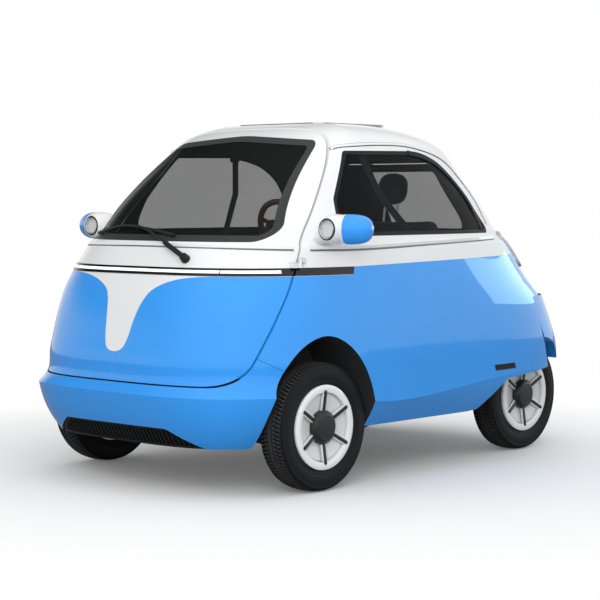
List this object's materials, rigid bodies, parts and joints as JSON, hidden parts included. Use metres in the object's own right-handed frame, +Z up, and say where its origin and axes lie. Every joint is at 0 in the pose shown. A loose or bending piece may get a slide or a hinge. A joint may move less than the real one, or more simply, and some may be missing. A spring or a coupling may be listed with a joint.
{
  "type": "microcar",
  "caption": "Two-seat electric bubble car whose whole nose is one side-hinged door, with a tailgate, steered front wheels and a narrow rear track.",
  "frame": {"origin": "middle of the length and width, on the floor", "axes": "+Z up, the nose points along -Y and the car's left side is +X"},
  "size_m": [1.7588, 2.519, 1.5263],
  "materials": {
    "paint_blue": "gloss",
    "paint_white": "gloss",
    "trim_black": "fine grain",
    "bumper_blue": "gloss",
    "roof_fabric": "coated canvas",
    "glass_clear": "clear",
    "glass_tinted": "tinted",
    "seal_black": "matt",
    "lamp_lens": "clear lens",
    "lamp_red": "gloss lens",
    "light_bar": "gloss",
    "mirror": "mirror",
    "tyre": "matt",
    "wheel_grey": "satin",
    "hub_black": "satin",
    "chassis_black": "satin",
    "cast_metal": "rough",
    "floor_grey": "satin",
    "seat_grey": "woven",
    "dash_grey": "fine grain",
    "wheel_brown": "smooth"
  },
  "bodies": {
    "body": {"side_panels": "paint_blue", "belt_panels": "paint_white", "roof_panel": "paint_white", "sunroof": "roof_fabric", "front_bumper": "bumper_blue", "front_grille": "trim_black", "rear_bumper": "bumper_blue", "side_windows": "glass_tinted", "side_window_seals": "seal_black", "light_strips": "light_bar", "lamp_pods": "paint_white", "headlamps": "lamp_lens", "mirror_shells": "paint_blue", "mirror_glasses": "mirror", "tail_lamps": "lamp_red", "floor_pan": "floor_grey", "front_suspension": "chassis_black", "rear_suspension": "chassis_black", "drive_motor": "cast_metal", "battery_case": "floor_grey", "seat_cushion": "seat_grey", "seat_back": "seat_grey", "steering_column": "dash_grey"},
    "front_door": {"door_panel": "paint_blue", "door_frame": "paint_white", "windscreen": "glass_clear", "windscreen_seal": "seal_black", "door_light_bar": "light_bar", "wiper": "trim_black", "dash_beam": "dash_grey"},
    "tailgate": {"hatch": "paint_white", "rear_window": "glass_tinted", "rear_window_seal": "seal_black"},
    "steering_wheel": {"steering_wheel": "wheel_brown"},
    "knuckle_left": {"knuckle_left": "cast_metal"},
    "knuckle_right": {"knuckle_right": "cast_metal"},
    "wheel_front_left": {"tyre_front_left": "tyre", "wheel_front_left": "wheel_grey", "hubcap_front_left": "hub_black"},
    "wheel_front_right": {"tyre_front_right": "tyre", "wheel_front_right": "wheel_grey", "hubcap_front_right": "hub_black"},
    "wheel_rear_left": {"tyre_rear_left": "tyre", "wheel_rear_left": "wheel_grey", "hubcap_rear_left": "hub_black"},
    "wheel_rear_right": {"tyre_rear_right": "tyre", "wheel_rear_right": "wheel_grey", "hubcap_rear_right": "hub_black"}
  },
  "joints": [
    {"name": "door_hinge", "type": "hinge", "parent": "body", "child": "front_door", "pos_m": [0.652, -0.7865, 0.934], "axis": [0, 0, 1], "range_deg": [0, 75]},
    {"name": "tailgate_hinge", "type": "hinge", "parent": "body", "child": "tailgate", "pos_m": [0, 0.6375, 1.371], "axis": [1, 0, 0], "range_deg": [0, 65]},
    {"name": "steer_left", "type": "hinge", "parent": "body", "child": "knuckle_left", "pos_m": [0.61, -0.6945, 0.264], "axis": [0, 0, 1], "range_deg": [-28, 28]},
    {"name": "steer_right", "type": "hinge", "parent": "body", "child": "knuckle_right", "pos_m": [-0.61, -0.6945, 0.264], "axis": [0, 0, 1], "range_deg": [-28, 28]},
    {"name": "wheel_turn", "type": "hinge", "parent": "body", "child": "steering_wheel", "pos_m": [0.33, -0.5045, 1.04], "axis": [0, 0.8829, 0.4695], "range_deg": [-338, 338]},
    {"name": "spin_front_left", "type": "hinge", "parent": "knuckle_left", "child": "wheel_front_left", "pos_m": [0.639, -0.6945, 0.264], "axis": [1, 0, 0], "continuous": true},
    {"name": "spin_front_right", "type": "hinge", "parent": "knuckle_right", "child": "wheel_front_right", "pos_m": [-0.639, -0.6945, 0.264], "axis": [1, 0, 0], "continuous": true},
    {"name": "spin_rear_left", "type": "hinge", "parent": "body", "child": "wheel_rear_left", "pos_m": [0.51, 0.8715, 0.264], "axis": [1, 0, 0], "continuous": true},
    {"name": "spin_rear_right", "type": "hinge", "parent": "body", "child": "wheel_rear_right", "pos_m": [-0.51, 0.8715, 0.264], "axis": [1, 0, 0], "continuous": true}
  ],
  "couplings": [
    {"joint": "steer_right", "follows": "steer_left", "ratio": 1},
    {"joint": "wheel_turn", "follows": "steer_left", "ratio": 12}
  ]
}
